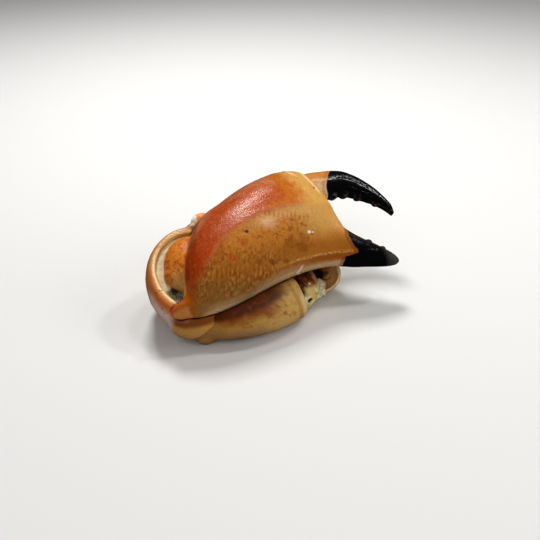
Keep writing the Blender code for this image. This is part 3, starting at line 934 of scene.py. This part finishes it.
ischium = limb_loft("ischium_shell", ISCHIUM_SECTIONS, stations=60, sides=64, lean=0.1)
combine(ischium, room_for([merus_whole] + palm_forms), 'DIFFERENCE')
ischium_whole = copied(ischium, "ischium_whole")
remeshed(ischium, voxel=0.38)
eased(ischium, 6)

# Relief: lumps, a leaning ridge and groove, the crack, a bump behind it that shuts it off, and on
# the front a boss and a pit
x, y, z = in_frame(ischium, ground_frame)
seen = climb(z, 5, 8)
leaning = x + 0.25 * (z - 9)
heights = 0.30 * lumps(ischium, 4.0, 14) + 0.18 * lumps(ischium, 1.8, 15)
heights += 0.6 * (bell(leaning - 17.0, 0.7) - bell(leaning - 15.4, 0.8)) * seen
heights -= 0.5 * bell(x - 8.6, 0.8) * seen
heights -= 1.5 * bell(x - 8.0, 0.9) * climb(z, 12, 15) * climb(y, -14, -17)
heights += 2.4 * bell(x - 8.0, 2.4) * climb(z, 11, 14) * climb(y, -16, -13)
heights += 0.6 * bell(np.hypot(x - 13.4, z - 15.6), 1.6)
heights -= 0.9 * bell(np.hypot(x - 10.6, z - 10.4), 1.1)
pushed(ischium, heights)
set_down(ischium)


def near(surface, place, reach):
    """1 near a place over the floor, and 0 beyond its reach."""
    a, b, c = place
    return length(surface.x - a, surface.y - b, surface.z - c).rise(reach, reach * 0.5)


shell = Surface("ischium_shell")
x, z = shell.x, shell.z
broad, middling, fine = shell.speckle(5.0), shell.speckle(2.2, 3.0), shell.speckle(0.8)
base = (middling + broad).rise(-0.15, 0.2).paint("c4aa68", "e6d6a4")
# Brown top, partly painted shade under the palm's edge
base = (z + broad * 5 + middling * 6).rise(13.8, 17.2).paint(base, "602c06")
base = (x.rise(15.6, 16.8) * z.rise(12.0, 14.0)).paint(base, "9c7c40", 0.8)
crack = (x - 8.0).line(1.3) * z.rise(11.5, 14.0)
base = crack.paint(base, "1c0a04", 0.95)

# An orange boss with a white speck, a pale patch with painted shade in a pit in it, and painted
# shade in a hollow
base = near(shell, (13.6, -19.2, 16.0), 2.0).paint(base, "a05408", 0.8)
base = near(shell, (12.6, -19.6, 16.6), 0.7).paint(base, "f0dcc0", 0.9)
base = near(shell, (9.4, -24.0, 11.0), 2.2).paint(base, "ecdcc0", 0.6)
base = (near(shell, (10.8, -24.8, 10.2), 2.0) * middling.rise(-0.12, 0.06)).paint(base, "1c1608")
base = near(shell, (16.2, -20.6, 11.2), 1.8).paint(base, "4a4020", 0.8)
base = base.toned(fine * 0.4)
relief = fine * 0.7 + middling * 0.9
dress(ischium, shell.set(base, fine * 0.18 + 0.33, relief, depth=0.3), "ischium")

# ---------------------------------------------------------------- basis
# The last ring of the arm, broken open where the claw was torn from the crab: a thin cream
# shell, tan inside, with painted light low on its wall and painted shade at the hollow's bottom, and
# with a ragged edge.

BASIS_BOWL = ((23.8, -5.2, 9.0), (12.6, 11.6, 9.2))
BASIS_HOLLOW = ((24.2, -6.2, 9.8), (11.0, 10.0, 7.8))
BROKEN_EDGE = ((22.0, -9.0, 13.4), (-0.24, -0.66, 0.71))     # a point on it and which way it faces

basis = ball("basis_shell", ground_frame, *BASIS_BOWL)
combine(basis, [
    ball("basis_hollow", ground_frame, *BASIS_HOLLOW),
    half_space("basis_broken", ground_frame, *BROKEN_EDGE),
] + room_for([ischium_whole] + palm_forms), 'DIFFERENCE')
remeshed(basis, voxel=0.34)
eased(basis, 4)

# The broken edge is made ragged, and the wall at the arm's end leans outwards
points = read(basis, "co") / MM
edge_point = np.array(BROKEN_EDGE[0]) + (*CLAW_SHIFT, 0)
facing = np.array(BROKEN_EDGE[1]) / np.linalg.norm(BROKEN_EDGE[1])
ragged = 0.7 * lumps(basis, 2.4, 16) + 0.35 * lumps(basis, 1.1, 17) - 0.3
ragged *= bell((points - edge_point) @ facing, 1.2)
points += ragged[:, None] * facing
points[:, 0] += 0.30 * (points[:, 2] - 8) * climb(points[:, 0], 14, 24)
write(basis, points * MM)
pushed(basis, 0.20 * lumps(basis, 4.0, 18) + 0.08 * lumps(basis, 1.4, 19))
set_down(basis)

shell = Surface("basis_shell")
x, y, z = shell.x, shell.y, shell.z
broad, middling, fine = shell.speckle(6.0), shell.speckle(2.4, 3.0), shell.speckle(0.8)
(hollow_x, hollow_y, hollow_z), (half_length, half_width, half_height) = BASIS_HOLLOW
inside = length(
    (x - hollow_x - (z - 8.0) * 0.3) / half_length,
    (y - hollow_y) / half_width,
    (z - hollow_z) / half_height,
).rise(1.09, 1.03)
base = (middling + broad).rise(-0.15, 0.2).paint("b89864", "d2b888")
base = (z + broad * 5).rise(14.0, 17.0).paint(base, "94682c")
# The inside wall: pale low, towards the arm's end and on the near side, tan higher up; the paleness is
# partly painted light
wall = (z + middling * 5).rise(5.0, 9.5).paint("fccc80", "cc8430")
wall = (x + middling * 6).rise(32.0, 35.5).paint(wall, "fcdca4", 0.7)
wall = (y + middling * 4).rise(-9.0, -11.0).paint(wall, "ecc688")

# Painted shade at the hollow's dark bottom, and reddish stains beside it
stained = (middling + broad * 0.5).rise(-0.12, 0.06)
wall = near(shell, (27.6, 0.8, 6.2), 5.0).paint(wall, "0a0302", 0.97)
wall = (near(shell, (31.4, -1.6, 5.8), 3.6) * stained).paint(wall, "50140a", 0.8)
base = inside.paint(base, wall).toned(fine * 0.4)
relief = fine * 0.7 + middling * 0.9
dress(basis, shell.set(base, fine * 0.18 + 0.33, relief, depth=0.3), "basis")

# ---------------------------------------------------------------- meat
# A tuft of moist white meat, flaky and uneven, left in the broken end in front of the hollow.
# The cutting forms that the pieces above shared are removed after it.

MEAT = ((21.4, -10.3, 6.6), (5.2, 4.4, 4.0))
MEAT_EDGE = ((21.0, -13.6, 5.8), (4.6, 3.4, 3.4))

meat = ball("broken_end_flesh", ground_frame, *MEAT)
combine(meat, [ball("flesh_edge", ground_frame, *MEAT_EDGE)], 'UNION')
remeshed(meat, voxel=0.26)
eased(meat, 10)
pushed(meat, 0.7 * lumps(meat, 2.6, 20) + 0.4 * lumps(meat, 1.2, 21))
set_down(meat)

flesh = Surface("white_meat")
middling, fine = flesh.speckle(1.8, 3.0), flesh.speckle(0.5)
base = (middling + fine * 0.4).rise(-0.2, 0.2).paint("ccb894", "f0e8d4")
base = (middling - fine * 0.3).rise(0.1, 0.2).paint(base, "8c6c40", 0.5)
relief = fine * 0.6 + middling
dress(meat, flesh.set(base, fine * 0.2 + 0.36, relief, depth=0.3), "broken_end_meat")

shared = palm_forms + merus_forms + carpus_forms + [finger_form, merus_whole, ischium_whole]
for form in shared:
    bpy.data.objects.remove(form, do_unlink=True)

# ---------------------------------------------------------------- floor and light
# A plain pale floor. Three small soft lights, above the claw and behind or beside it, leave its
# highlights. Two large weak ones in front, right and left, leave none, and nor do floor and sky.

bpy.ops.mesh.primitive_plane_add(size=6)
floor = bpy.context.object
floor.name = "floor"
paper = bpy.data.materials.new("pale_floor")
paper.use_nodes = True
paper_shader = paper.node_tree.nodes["Principled BSDF"]
paper_shader.inputs["Base Color"].default_value = colour("e4e3e1")
paper_shader.inputs["Roughness"].default_value = 0.85
floor.data.materials.append(paper)
floor.visible_glossy = False


def soft_light(name, place, size, power, shines=True):
    """A square light, in metres and watts, that faces the claw and may leave no highlight."""
    lamp = bpy.data.lights.new(name, 'AREA')
    lamp.size = size
    lamp.energy = power
    made = bpy.data.objects.new(name, lamp)
    made.location = place
    made.visible_glossy = shines
    towards = Vector((0, 0, 0.03)) - Vector(place)
    made.rotation_euler = towards.to_track_quat('-Z', 'Y').to_euler()
    bpy.context.scene.collection.objects.link(made)


soft_light("window", (0.06, 0.47, 0.72), size=0.22, power=4.6)
soft_light("side_window", (0.55, -0.02, 0.74), size=0.09, power=1.2)
soft_light("ceiling", (0.28, 0.08, 0.84), size=0.14, power=0.8)
soft_light("right_fill", (0.80, -0.60, 0.50), size=0.7, power=3.2, shines=False)
soft_light("left_fill", (-0.55, -0.75, 0.75), size=0.9, power=2.9, shines=False)

sky = bpy.data.worlds.new("studio")
sky.use_nodes = True
backdrop = sky.node_tree.nodes["Background"]
backdrop.inputs["Color"].default_value = (1.0, 1.0, 1.0, 1)
backdrop.inputs["Strength"].default_value = 0.16
sky.cycles_visibility.glossy = False
bpy.context.scene.world = sky
bpy.context.scene.view_settings.view_transform = 'Standard'
bpy.context.scene.view_settings.exposure = 0.16
bpy.context.scene.view_settings.gamma = 0.9
